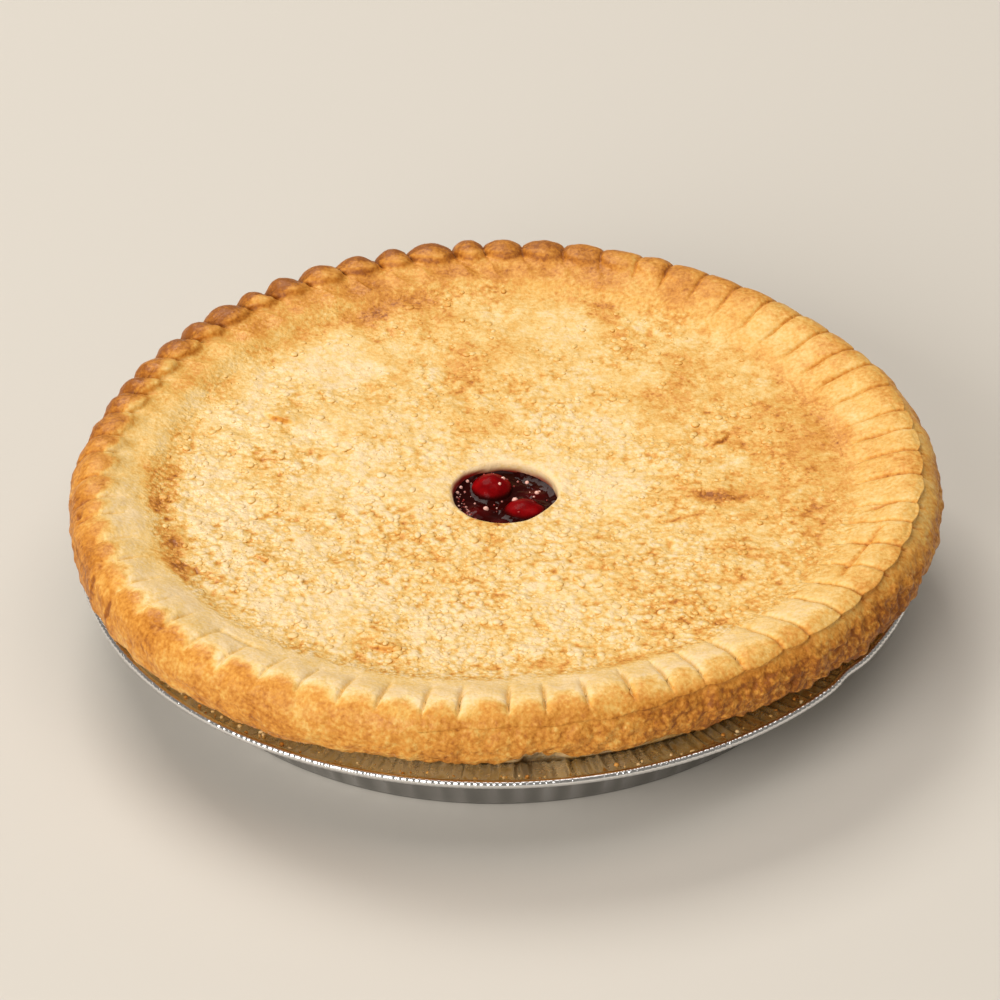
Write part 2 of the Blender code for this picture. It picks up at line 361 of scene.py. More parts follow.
# ---------------------------------------------------------------- rim and lower crust
# The lower crust lines the pan, and stands up round its edge. The lid's edge was folded over it,
# and the two were pinched together by hand into a thick roll, which overhangs the pan's flange.
PIE_RADIUS = 127.6 * MM
RIM_TOP = 49.7 * MM
BACK_RISE = 0.8 * MM
ROLL_WIDTH = 9.0 * MM
ROLL_HEIGHT = 10.7 * MM
ROLL_RADIUS = PIE_RADIUS - ROLL_WIDTH
ROLL_CENTRE = RIM_TOP - ROLL_HEIGHT
RIM_STEPS = 576
CRIMPS = 64
CREST_TILT = 92  # degrees round the roll, where the lid's slope meets its crest
FOLD_TILT = 22.0  # degrees round the roll where the lid's folded edge ends
FOLD_STEP = 3  # degrees from there to the first ring of the rim's side
SIDE_SWEEP = 73  # degrees that the side sweeps below the roll's middle, after that step
LID_RADIUS = 104.5 * MM
LID_EDGE = 43.0 * MM
LID_SAG = 3.6 * MM
JOIN_RADIUS = 99.8 * MM
TURN_UP_RADIUS = 97.0 * MM
VENT_RADIUS = 15.3 * MM
VENT_LIP = 1.6 * MM
VENT_CENTRE = (-0.3 * MM, -5.2 * MM)
VENT_PULL_RADIUS = 80 * MM

# how the crimping changes round the rim: degrees, depth of the grooves in millimetres, how
# pillowed the lobes between them are, where the grooves start and the tilt where they end, how far
# they lean, and how sharply the lobes end towards the lid
CRIMPING = [
    (0, 0.9, 0.0, 103.5, 60, -0.10, 0),
    (30, 0.9, 0.1, 105.0, 52, -0.05, 0),
    (50, 0.9, 0.4, 108.0, 40, 0.05, 0),
    (75, 1.6, 0.8, 112.0, 22, 0.20, 0.5),
    (95, 2.7, 1.0, 113.5, 5, 0.35, 1),
    (120, 3.3, 1.0, 114.0, 0, 0.55, 1),
    (150, 3.0, 1.0, 114.0, 5, 0.55, 0.9),
    (170, 1.9, 0.9, 113.0, 28, 0.40, 0.4),
    (195, 1.4, 0.8, 111.0, 50, 0.15, 0.1),
    (225, 1.1, 0.7, 110.0, 62, 0.05, 0),
    (240, 0.8, 0.5, 109.5, 64, 0.00, 0),
    (258, 1.2, 0.3, 111.0, 60, 0.00, 0),
    (280, 1.3, 0.2, 110.0, 60, -0.05, 0),
    (305, 1.3, 0.1, 103.5, 62, -0.14, 0),
    (335, 1.1, 0.0, 103.0, 60, -0.16, 0),
]
# how browned the rim is round the pie, with painted shade on the right front: degrees, inner
# band, crest, outer side, lower edge, and the radius in millimetres where the crest's browning
# starts
BROWNING = [
    (0, 0.41, 0.45, 0.62, 0.92, 115.0),
    (40, 0.42, 0.54, 0.74, 0.90, 113.0),
    (70, 0.66, 0.70, 0.82, 0.88, 111.0),
    (95, 0.66, 0.92, 0.84, 0.92, 115.0),
    (125, 0.60, 1.00, 0.88, 0.94, 115.8),
    (160, 0.40, 0.88, 0.86, 0.92, 115.2),
    (182, 0.22, 0.66, 0.78, 0.84, 113.5),
    (200, 0.14, 0.70, 0.84, 0.80, 116.0),
    (214, 0.06, 0.62, 0.60, 0.66, 118.0),
    (232, 0.12, 0.68, 0.64, 0.68, 118.0),
    (250, 0.12, 0.56, 0.58, 0.70, 119.0),
    (270, 0.10, 0.48, 0.56, 0.70, 118.5),
    # from here round to 0 degrees the outer side and lower edge are darker: painted shade
    (300, 0.16, 0.46, 0.82, 0.96, 115.5),
    (330, 0.32, 0.50, 0.80, 1.00, 116.0),
]
# where the lid's folded edge comes to round the rim: degrees, its tilt, and how far it stands off
FOLDING = [
    (0, 72, 0.8),
    (20, 64, 0.5),
    (45, 44, 0.1),
    (70, 24, 0.3),
    (120, 18, 0.6),
    (170, 20, 0.2),
    (200, 24, 0.0),
    (248, 24, 0.0),
    (259, 26, 0.0),
    (268, 30, 0.4),
    (276, 28, 0.1),
    (290, 36, 0.5),
    (310, 52, 0.9),
    (340, 70, 0.9),
]


def by_angle(angle, table):
    """The columns of a table that goes round the rim, at each angle."""
    degrees, *columns = np.array(table).T
    return [np.interp(np.degrees(angle), degrees, column, period=360) for column in columns]


def outline(angle):
    """How far the hand-set crust is from a true circle at this angle, as a factor of its radius."""
    return (
        1.0
        + 0.006 * np.cos(2 * angle)
        + 0.002 * np.sin(2 * angle)
        + 0.011 * np.cos(3 * angle)
        - 0.012 * np.sin(3 * angle)
    )


def outline_centre():
    turn = np.radians(np.arange(360))
    reach = PIE_RADIUS * outline(turn)
    x, y = reach * np.cos(turn), reach * np.sin(turn)
    return (x.max() + x.min()) / 2, (y.max() + y.min()) / 2


CRUST_CENTRE = outline_centre()


def set_by_hand(radius, angle, loose):
    """Where a point of a true turned crust comes to lie on the hand-set one."""
    radius = radius * (1 + (outline(angle) - 1) * loose)
    x = radius * np.cos(angle) - CRUST_CENTRE[0] * loose + PAN_CENTRE[0] * (1 - loose)
    y = radius * np.sin(angle) - CRUST_CENTRE[1] * loose + PAN_CENTRE[1] * (1 - loose)
    return x, y


def risen(y, height):
    """How much higher a point of the crust stands because it rose more at the back."""
    return BACK_RISE * smoothstep(PAN_WALL_TOP, ROLL_CENTRE, height) * y / PIE_RADIUS


def roll(degrees):
    """The rim's rounded section: 0 is its outer side, and 90 its crest."""
    turn = np.radians(degrees)
    return ROLL_RADIUS + ROLL_WIDTH * np.cos(turn), ROLL_CENTRE + ROLL_HEIGHT * np.sin(turn)


def near_angle(angle, degrees, spread):
    """1 at a place on the rim, falling to 0 within about spread degrees of it."""
    off = (angle - math.radians(degrees) + math.pi) % math.tau - math.pi
    return np.exp(-((off / math.radians(spread)) ** 2))


# places on the lid in millimetres, as (x, y), how far each spreads along and across, turn, amount
BROWNED = [
    (-34, 91, 16, 8, 10, 0.24),
    (-64, 79, 14, 7, 35, 0.10),
    (58, -12, 15, 4.5, -6, 0.06),
    (57, -10, 2.5, 1.5, 0, 0.30),
    (63, -11.5, 4.5, 2.4, -10, 0.30),
    (69, -13, 3.5, 2.0, 20, 0.26),
    (49, -13, 2.2, 1.4, 0, 0.22),
    (50, -22, 2.0, 1.6, 0, 0.18),
    (65, -54, 5.0, 2.2, 20, 0.24),
    (-99, -43, 6, 10, 25, 0.40),
    (-107, 0, 5, 13, 0, 0.45),
    (-86, -82, 16, 7, -40, 0.30),
    (42, -79, 6, 4, 20, 0.26),
    (-34, -84, 5, 2, -15, 0.28),
    (-71, -40, 6, 3, 20, 0.22),
    (-95, -36, 3, 18, 8, 0.24),
    (-98, 4, 3, 12, 0, 0.18),
    (-77, 14, 9, 8, 0, 0.16),
    (64, 19, 7, 3, 45, 0.14),
    (82, 24, 12, 26, 0, 0.16),
    (53, -71, 16, 10, 25, 0.14),
    (-64, 95, 20, 6, 30, 0.16),
    (86, -23, 8, 16, -10, 0.12),
    (3, 105, 9, 4, 0, 0.18),
    (-37, 101, 8, 4, 15, 0.22),
    (53, -51, 20, 12, 0, 0.10),
    (28, 87, 3, 4, 0, 0.16),
    (10, -93, 9, 4, 10, 0.15),
    (-7, 69, 22, 12, 0, 0.08),
    (-94, 51, 5, 8, -20, 0.14),
    (28, -41, 12, 8, 0, 0.08),
    (-101, -14, 4, 5, 10, 0.34),
    (-97, -30, 4, 6, 20, 0.26),
    (-92, -46, 4, 6, 35, 0.24),
    (-60, 74, 9, 5, 30, 0.08),
    (-84, 44, 5, 7, -20, 0.18),
    (-20, 84, 8, 4, 5, 0.20),
    (-44, 84, 6, 3, 20, 0.20),
]
# places that stayed pale, in the same order of numbers
LEFT_PALE = [
    (-50, 57, 14, 16, 10, 0.16),
    (30, 27, 14, 10, 0, 0.22),
    (28, -3, 15, 11, 0, 0.38),
    (-2, 15, 18, 6, 0, 0.20),
    (-24, 7, 8, 14, 0, 0.10),
    (56, 77, 10, 8, 0, 0.10),
    (-57, -63, 20, 16, 0, 0.10),
    (-84, -11, 10, 40, 0, 0.07),
    (-24, -61, 12, 14, 0, 0.08),
    (10, -65, 10, 6, 0, 0.06),
]
# small curved cuts, as (x, y), length, turn in degrees and how far one side stands up
CUTS = [
    (-68, 32, 10, -28, 0.9),
    (64, 17, 9, 42, 0.6),
    (-35, -85, 8, -12, 0.8),
    (-70, -40, 7, -30, 0.6),
    (46, -65, 6, 10, 0.4),
]
# cracks and pits, as (x, y) of both ends in millimetres, depth, and how much darker they are, from
# browning and painted shade
CRACKS = [
    (107, -38, 101, -48, 1.0, 0.30),
    (101, -48, 94, -60, 0.8, 0.25),
    (112, -26.5, 99, -26.5, 0.7, 0.40),
    (-81, -80, -69, -89.5, 0.8, 0.25),
    (-124, -24, -124, -24, 1.3, 0.80),
    (-118.5, -53, -118.5, -53, 1.1, 0.80),
    (-113.5, -64, -113.5, -64, 1.2, 0.80),
    (-106.6, -12.8, -106.6, -12.8, 1.0, 0.80),
]


def cracked(x, y):
    """How far cracks and pits lower a place on the crust, and how much darker it is there: browning
    and painted shade.
    """
    place = level(x, y)
    stray_x = x / MM + 0.7 * bumps(place, 3 * MM, 68)
    stray_y = y / MM + 0.7 * bumps(place, 3 * MM, 69)
    lowered, crack_browning_and_shade = np.zeros(len(x)), np.zeros(len(x))
    for start_x, start_y, end_x, end_y, depth, brown in CRACKS:
        run_x, run_y = end_x - start_x, end_y - start_y
        along = (stray_x - start_x) * run_x + (stray_y - start_y) * run_y
        share = np.clip(along / (run_x**2 + run_y**2 + 0.01), 0, 1)
        off = np.hypot(stray_x - start_x - share * run_x, stray_y - start_y - share * run_y)
        lowered += depth * MM * np.exp(-((off / 0.8) ** 2))
        crack_browning_and_shade += brown * np.exp(-((off / 0.8) ** 2))
    return lowered, crack_browning_and_shade


def along_and_across(x, y, middle, turn):
    """How far places are from a middle in millimetres, along a direction and across it."""
    c, s = math.cos(math.radians(turn)), math.sin(math.radians(turn))
    off_x, off_y = x / MM - middle[0], y / MM - middle[1]
    return off_x * c + off_y * s, off_y * c - off_x * s


def patches(x, y, listed):
    """The sum of soft-edged oval patches at a place on the lid."""
    total = np.zeros(len(x))
    for middle_x, middle_y, along, across, turn, amount in listed:
        u, v = along_and_across(x, y, (middle_x, middle_y), turn)
        total += amount * np.exp(-((u / along) ** 2 + (v / across) ** 2))
    return total


def cut_height(x, y):
    """The raised flap along one side of each cut, and how far into a cut's shadow a place is."""
    height, shadow = np.zeros(len(x)), np.zeros(len(x))
    for middle_x, middle_y, length, turn, stands in CUTS:
        u, v = along_and_across(x, y, (middle_x, middle_y), turn)
        v = v - 0.035 * u * u
        ends = 1 - smoothstep(length * 0.3, length * 0.6, np.abs(u))
        flap = smoothstep(-0.5, 0.6, v) * np.exp(-np.maximum(v, 0) / 3.0)
        height += stands * ends * (flap - 0.5 * np.exp(-(((v + 0.9) / 0.8) ** 2)))
        shadow += ends * np.exp(-(((v + 0.2) / 0.7) ** 2))
    return height * MM, shadow


def pebbles(x, y, pitch, seed):
    """Rounded lumps about pitch apart on the lid: how far each place stands up, from 0 to 1."""
    cells = 211
    looks = np.random.default_rng(seed).uniform(0, 1, (cells, cells, 3))
    place = np.stack((x, y), axis=1) / pitch
    cell = np.floor(place).astype(int)
    highest = np.zeros(len(x))
    for step in product((-1, 0, 1), repeat=2):
        near = cell + step
        look = looks[near[:, 0] % cells, near[:, 1] % cells]
        size = 0.35 + 0.5 * look[:, 2]
        off = ((place - near - look[:, :2]) ** 2).sum(axis=1) / size**2
        lump = (0.35 + 0.65 * look[:, 2]) * np.sqrt(np.clip(1 - off, 0, 1))
        highest = np.maximum(highest, lump)
    return highest


def pebbled(x, y):
    """How thickly the lid is pebbled at a place: most in front and on the left."""
    place = level(x, y)
    front = 0.5 - 0.5 * np.clip((y + 0.3 * x) / (80 * MM), -1, 1)
    right = smoothstep(55 * MM, 95 * MM, x) * smoothstep(-60 * MM, -10 * MM, y)
    amount = 0.30 + 0.55 * front - 0.35 * right + 0.30 * bumps(place, 18 * MM, 61)
    return np.clip(amount + 0.30 * bumps(place, 7 * MM, 62), 0.0, 1.0)


def crust_height(radius):
    """The top of the pie before its unevenness: a lid that sags, and turns up to the rim."""
    sag = LID_SAG * (1 - np.minimum(radius / LID_RADIUS, 1) ** 2)
    crest_radius, crest_height = roll(CREST_TILT)
    turn_up = (crest_height - LID_EDGE) * smoothstep(TURN_UP_RADIUS, crest_radius, radius)
    return LID_EDGE - sag + turn_up


def lid_relief(x, y, radius):
    """The lid's own unevenness at a place, and how far that place is up on a pebble."""
    place = level(x, y)
    vent_y = y - VENT_CENTRE[1]
    smooth_to = VENT_RADIUS + (2.0 + 6.0 * smoothstep(-8 * MM, 12 * MM, vent_y)) * MM
    inside = smoothstep(VENT_RADIUS + 0.5 * MM, smooth_to, radius)
    swell = 0.55 * bumps(place, 36 * MM, 31) + 0.46 * bumps(place, 13 * MM, 32)
    ripple = 0.30 * bumps(place, 5 * MM, 33)
    lumps = 0.6 * pebbles(x, y, 2.3 * MM, 34) + 0.6 * pebbles(x, y, 3.9 * MM, 35) - 0.38
    amount = pebbled(x, y)
    rough = (0.12 + 0.70 * amount) * lumps
    wander = 2.5 * MM * bumps(place, 9 * MM, 36)
    outer = 1 - 0.85 * smoothstep(96 * MM, 105 * MM, radius + wander)
    return inside * outer * (swell + ripple + 0.72 * rough) * MM, lumps * amount * outer * inside


def lid_point(radius, angle):
    """A point on the lid's upper face, from its place on a true round lid, and its pebbling."""
    x, y = set_by_hand(radius, angle, smoothstep(60 * MM, 100 * MM, radius))
    pull = 1 - smoothstep(VENT_RADIUS + VENT_LIP, VENT_PULL_RADIUS, radius)
    x = x + (VENT_CENTRE[0] - PAN_CENTRE[0]) * pull
    y = y + (VENT_CENTRE[1] - PAN_CENTRE[1]) * pull
    relief, lumps = lid_relief(x, y, radius)
    height = crust_height(radius) + relief + cut_height(x, y)[0]
    return x, y, height + risen(y, height), lumps


def lid_shade(x, y, radius, lumps):
    """How browned the lid is at a place: golden, darker to the back and right, with pale and brown
    patches, pale pebbles over painted shade in their hollows, and painted shadow along the cuts.
    """
    place = level(x, y)
    shade = 0.28 + 0.10 * bumps(place, 30 * MM, 51) + 0.15 * bumps(place, 9 * MM, 52)
    shade = shade + 0.12 * bumps(place, 4 * MM, 53)
    # browner towards the back and the right
    shade = shade + 0.08 * y / (100 * MM) + 0.09 * x / (100 * MM)
    shade = shade + 0.12 * np.exp(-(((radius / MM - 99) / 5) ** 2))
    shade = shade + patches(x, y, BROWNED) - patches(x, y, LEFT_PALE)
    behind_vent = smoothstep(-8 * MM, 8 * MM, y - VENT_CENTRE[1])
    # partly browning, partly painted shade: pebble tops paler, the hollows between them browner
    shade = shade - 0.26 * behind_vent * np.exp(-(((radius / MM - 16) / 4) ** 2)) - 0.46 * lumps
    # painted shadow along the low side of each cut's raised flap
    return shade + 0.35 * cut_height(x, y)[1]


SLOPE_RINGS = 18
FOLD_RINGS = 20
SIDE_RINGS = 26


def rim_section():
    """The rim and the lower crust in section, from the middle of the pie, outwards and under."""
    path = [(0.0, 18.4 * MM), (70 * MM, 18.4 * MM), (96.0 * MM, 36.0 * MM)]
    path += [(98.0 * MM, LID_EDGE - 1.8 * MM), (98.9 * MM, LID_EDGE - 0.6 * MM)]
    path += [(JOIN_RADIUS - 0.3 * MM, LID_EDGE)]
    path += steps_between(path[-1], (LID_RADIUS, LID_EDGE), 7)
    path += steps_between(path[-1], roll(CREST_TILT), SLOPE_RINGS + 1)[:-1]
    sweep = CREST_TILT - FOLD_TILT
    path += [roll(CREST_TILT - sweep * i / FOLD_RINGS) for i in range(FOLD_RINGS + 1)]
    path += [roll(FOLD_TILT - 0.5), roll(FOLD_TILT - 1.5)]
    sweep = SIDE_SWEEP + FOLD_TILT
    path += [roll(FOLD_TILT - FOLD_STEP - sweep * i / SIDE_RINGS) for i in range(SIDE_RINGS + 1)]
    path += [(117.4 * MM, 26.6 * MM), (115.6 * MM, 25.2 * MM), (113.6 * MM, 23.9 * MM)]
    path += [(111.0 * MM, 23.1 * MM), (109.0 * MM, 19.3 * MM), (99.0 * MM, 3.3 * MM)]
    path += [(96.5 * MM, 0.9 * MM), (50 * MM, 0.9 * MM), (0.0, 0.9 * MM)]
    return np.array(path)


# rings of the section above, numbered outwards from the middle: where it starts to follow the
# lid's unevenness, where its top starts, and where its slope, roll, fold and side start or end
FIRST_JOINED = 3
FIRST_TOP = 5
FIRST_SLOPE = 13
FIRST_ROLL = FIRST_SLOPE + SLOPE_RINGS
FOLD_EDGE = FIRST_ROLL + FOLD_RINGS
FIRST_SIDE = FOLD_EDGE + 3
LAST_SIDE = FIRST_SIDE + SIDE_RINGS


def normals(section):
    """The outward direction at each point of a section that is walked from its inside outwards."""
    run = np.gradient(section, axis=0)
    out = np.stack((run[:, 1], -run[:, 0]), axis=1)
    return -out / np.maximum(np.linalg.norm(out, axis=1), 1e-9)[:, None]


def crimped_turn(angle):
    """Gathers the points towards the grooves, which are unevenly spaced. The second result is
    how far each is from a groove, from 0 in it to 1 midway, and the third the groove's depth."""
    rng = np.random.default_rng(41)
    pitch = math.tau / CRIMPS
    middle = (np.arange(CRIMPS + 1) + np.append(rng.uniform(-0.12, 0.12, CRIMPS), 0)) * pitch
    middle[CRIMPS] = middle[0] + math.tau
    deep = rng.uniform(0.65, 1.15, CRIMPS + 1)
    deep[CRIMPS] = deep[0]
    turn = (angle % math.tau) / pitch
    before = np.minimum(np.floor(turn).astype(int), CRIMPS - 1)
    share = turn - before
    far = np.abs(1 - np.abs(2 * share - 1)) ** 1.3
    share = np.where(share < 0.5, far / 2, 1 - far / 2)
    turned_to = middle[before] * (1 - share) + middle[before + 1] * share
    return turned_to, far, np.where(share < 0.5, deep[before], deep[before + 1])


def shape_rim(angle, ring):
    section = rim_section()
    radius, height = section[ring].T
    out, up = normals(section)[ring].T
    angle, far, deep = crimped_turn(angle)
    depth, pillow, starts, stops, lean, ends = by_angle(angle, CRIMPING)
    fold = (ring > FIRST_ROLL) & (ring < FIRST_SIDE)
    share = np.clip((ring - FIRST_ROLL) / (FOLD_EDGE - FIRST_ROLL), 0, 1)
    edge, stands = by_angle(angle, FOLDING)
    edge = edge + 4 * bumps(around(angle), 18 * MM, 42) + 3 * bumps(around(angle), 5 * MM, 43)
    lobe = np.sin(far * math.pi / 2) ** 0.8
    edge = edge + 8 * stands * (1 - lobe)
    tilt = np.where(fold, CREST_TILT - (CREST_TILT - edge) * share, 0)
    below = ring >= FIRST_SIDE
    down = np.clip((ring - FIRST_SIDE) / SIDE_RINGS, 0, 1)
    tilt = np.where(below, edge - FOLD_STEP - (SIDE_SWEEP + edge) * down, tilt)
    tilt = np.where(ring <= FIRST_ROLL, CREST_TILT, tilt)
    on_roll = (ring >= FIRST_ROLL) & (ring <= LAST_SIDE)
    roll_radius, roll_height = roll(tilt)
    radius = np.where(on_roll, roll_radius, radius)
    on_top = (ring >= FIRST_TOP) & (ring < FIRST_ROLL)
    height = np.where(on_roll, roll_height, np.where(on_top, crust_height(radius), height))
    reach = smoothstep(starts - 4, starts + 4, radius / MM)
    reach = reach * smoothstep(stops - 14, stops + 14, tilt)
    angle = angle + lean * np.clip((radius / MM - 108) / 108, -0.03, 0.08) * (ring >= FIRST_SLOPE)
    true = np.stack((radius * np.cos(angle), radius * np.sin(angle), height), axis=1)

    pad = 1 - np.exp(-far / 0.12)
    crest = lobe * pillow + pad * (1 - pillow)
    wedge = 0.36 - 0.24 * smoothstep(108, 120, radius / MM)
    notch = near_angle(angle, -88, 28) * np.clip(1 - far / wedge, 0, 1)
    crease = np.exp(-((far * 5.8 / 0.40) ** 2)) * (1 - 0.45 * pillow)
    groove = depth * deep * (1 - crest) + 0.8 * notch + 0.45 * crease * deep
    pressed = reach * groove * MM
    inner_end = 112.5 + 3.0 * (1 - lobe) + 0.6 * bumps(true, 4 * MM, 25)
    off_end = radius / MM - inner_end
    before_lobe = ends * smoothstep(-9, -2, off_end) * (1 - smoothstep(-0.9, 1.1, off_end))
    before_lobe = before_lobe * (ring >= FIRST_SLOPE) * (ring <= FOLD_EDGE)
    stands = stands * np.clip(0.75 + 0.8 * bumps(around(angle), 6 * MM, 64), 0.0, 1.2)
    outwards = np.cos(np.radians(tilt)) / ROLL_WIDTH
    upwards = np.sin(np.radians(tilt)) / ROLL_HEIGHT
    whole = np.hypot(outwards, upwards)
    out = np.where(on_roll, outwards / whole, out)
    up = np.where(on_roll, upwards / whole, up)
    swell = 0.50 * bumps(true, 17 * MM, 44) + 0.28 * bumps(true, 6 * MM, 45)
    lower = smoothstep(60, 10, tilt)
    grain = 0.13 * bumps(true, 2.4 * MM, 46) + 0.09 * bumps(true, 1.4 * MM, 47)
    layers = np.abs(bumps(true * (1, 1, 2.5), 6 * MM, 24)) - 0.2
    shards = np.abs(bumps(true * (1, 1, 0.5), 2.6 * MM, 49))
    flaky = 0.5 * layers + 0.36 * bumps(true, 3.6 * MM, 48) + 0.40 * shards
    rough_side = 1 + 1.9 * near_angle(angle, -40, 36)
    split = np.exp(-((bumps(true * (1, 1, 0.35), 8 * MM, 63) / 0.09) ** 2))
    split = split * smoothstep(40, 5, tilt) * (0.35 + 0.65 * near_angle(angle, -30, 45))
    visible = smoothstep(FIRST_SLOPE - 2, FIRST_SLOPE + 6, ring) * (ring <= LAST_SIDE)
    grain = grain * (1 + 1.2 * near_angle(angle, -30, 45) * lower)
    push = visible * (swell + grain + lower * rough_side * (flaky - 0.28) - 0.5 * split - 0.55) * MM
    tuck = stands * below * (1 - smoothstep(0.0, 0.5, down)) * 1.5 * MM
    under_fold = (ring == FOLD_EDGE + 1) | (ring == FOLD_EDGE + 2)
    tuck = np.where(under_fold, 0.9 * stands * MM, tuck)
    proud = 0.25 * stands * smoothstep(0.6, 1.0, share) * fold * MM
    off_centre = np.degrees(angle) % 360
    bite = smoothstep(271.6, 272.6, off_centre) * (1 - smoothstep(276, 279.5, off_centre))
    bite = bite * below * smoothstep(-14, -30, tilt + 5 * bumps(true, 3 * MM, 23))
    bitten = (1.7 + 0.9 * bumps(true, 2.5 * MM, 22)) * bite * MM
    move = push - pressed - tuck + proud - 1.5 * before_lobe * MM - bitten
    radius = np.minimum(radius + out * move, PIE_RADIUS - 0.2 * MM)
    height = height + up * move

    lower_edge = on_roll * below * smoothstep(0.55, 1.0, down)
    ragged = 1.0 * bumps(around(angle), 8 * MM, 26) + 0.8 * bumps(around(angle), 2.4 * MM, 27)
    height = height + lower_edge * (ragged + 0.5) * MM

    loose = smoothstep(60 * MM, 100 * MM, radius) * (height > 30 * MM)
    loose = np.maximum(loose, smoothstep(112.5 * MM, ROLL_RADIUS, section[ring, 0]))
    x, y = set_by_hand(radius, angle, loose)
    relief, lumps = lid_relief(x, y, radius)
    fade = np.where(ring <= FIRST_SLOPE, 1, 1 - smoothstep(FIRST_SLOPE, FIRST_SLOPE + 10, ring))
    joined = np.where(ring >= FIRST_JOINED, fade, 0)
    height = height + joined * (relief + cut_height(x, y)[0])
    height = height + risen(y, height)
    on_show = (height > 36 * MM) * visible
    lowered, crack_browning_and_shade = cracked(x, y)
    height = height - lowered * on_show

    band, top, side, foot, browned_from = by_angle(angle, BROWNING)
    front = near_angle(angle, -95, 50)
    between = (1 - lobe) * (0.7 + 0.5 * front + 0.5 * near_angle(angle, 195, 35))
    between = between * smoothstep(20, 60, tilt)
    ragged_tone = 2.0 * bumps(true, 7 * MM, 66) + 1.5 * bumps(true, 2.6 * MM, 67)
    pale_to = browned_from + 3.5 * between + ragged_tone
    rim_tone_and_shade = band + (top - band) * smoothstep(pale_to - 2, pale_to + 3, radius / MM)
    later = 30 * near_angle(angle, -15, 40)
    rim_tone_and_shade = rim_tone_and_shade + (side - top) * smoothstep(85 - later, 30 - later, tilt) * on_roll
    rim_tone_and_shade = rim_tone_and_shade + (foot - side) * lower_edge + 0.12 * bumps(true, 12 * MM, 50)
    rim_tone_and_shade = rim_tone_and_shade + 0.08 * bumps(true, 4 * MM, 55) + 0.4 * patches(x, y, BROWNED)
    rim_tone_and_shade = rim_tone_and_shade - (0.14 + 0.3 * bumps(true, 3 * MM, 56)) * bite - 0.10 * notch * reach
    # painted shade along the ledge at each lobe's inner end
    rim_tone_and_shade = rim_tone_and_shade + 0.20 * ends * np.exp(-((off_end / 0.7) ** 2)) * (ring <= FOLD_EDGE)
    # painted shade in the creases between lobes and in the splits of the side
    rim_tone_and_shade = rim_tone_and_shade + 0.30 * crease * reach + 0.25 * split
    rim_share = smoothstep(LID_RADIUS - 3 * MM, LID_RADIUS + 3 * MM, radius)
    shade = lid_shade(x, y, radius, lumps) * (1 - rim_share) + rim_tone_and_shade * rim_share
    shade = shade + crack_browning_and_shade * on_show
    paint = {
        "browning_and_shade": np.clip(shade, 0, 1),
        "pebbled": np.maximum(0.10 + 0.22 * lower * rough_side, pebbled(x, y) * (1 - rim_share)),
        "glaze": glazed(x, y),
        "juice": 0 * shade,
    }
    return np.stack((x, y, height), axis=1), paint


def glazed(x, y):
    """Where butter and melted sugar have left the crust glossy, mostly on its left."""
    place = level(x, y)
    left = np.exp(-((x / MM + 78) ** 2 / 26**2 + (y / MM - 0) ** 2 / 60**2))
    return np.clip(0.30 + 0.7 * left + 0.25 * bumps(place, 14 * MM, 57), 0, 1)


JUICE_STAIN = (0.25, 0.012, 0.008)
# how the crust's colour deepens as it bakes, from 0 for pale to 1 for the darkest brown
CRUST_TONES = [
    (0.00, (0.88, 0.66, 0.375)),
    (0.25, (0.84, 0.570, 0.215)),
    (0.45, (0.77, 0.440, 0.105)),
    (0.62, (0.69, 0.300, 0.048)),
    (0.80, (0.53, 0.195, 0.022)),
    (1.00, (0.31, 0.095, 0.011)),
]


